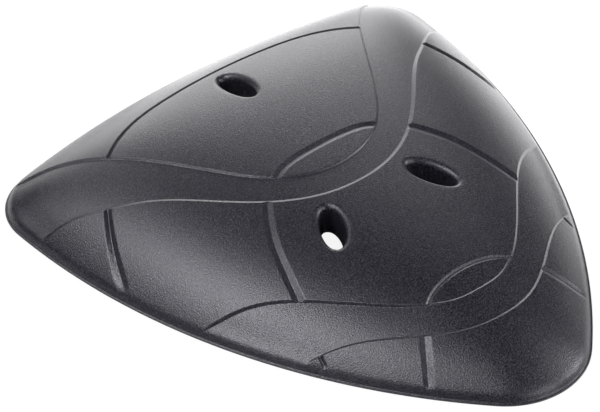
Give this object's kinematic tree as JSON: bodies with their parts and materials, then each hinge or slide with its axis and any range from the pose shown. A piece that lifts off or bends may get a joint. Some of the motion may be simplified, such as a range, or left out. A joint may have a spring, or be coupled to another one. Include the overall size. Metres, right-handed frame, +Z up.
{
  "type": "tailbone protector",
  "caption": "Domed rounded-triangle foam pad with raised plates, bands, channels and oval vents, worn over the tailbone to soften a fall.",
  "frame": {"origin": "on the plane of the rim, under the middle of the outline", "axes": "+Z up through the dome, +Y towards the waist edge, -Y towards the rounded tail, mirror symmetric in X"},
  "size_m": [0.1516, 0.169, 0.0206],
  "materials": {
    "foam_skin": "dark moulded foam with a closed satin skin and a fine grain"
  },
  "bodies": {
    "root": {"guard": "foam_skin"}
  },
  "joints": []
}
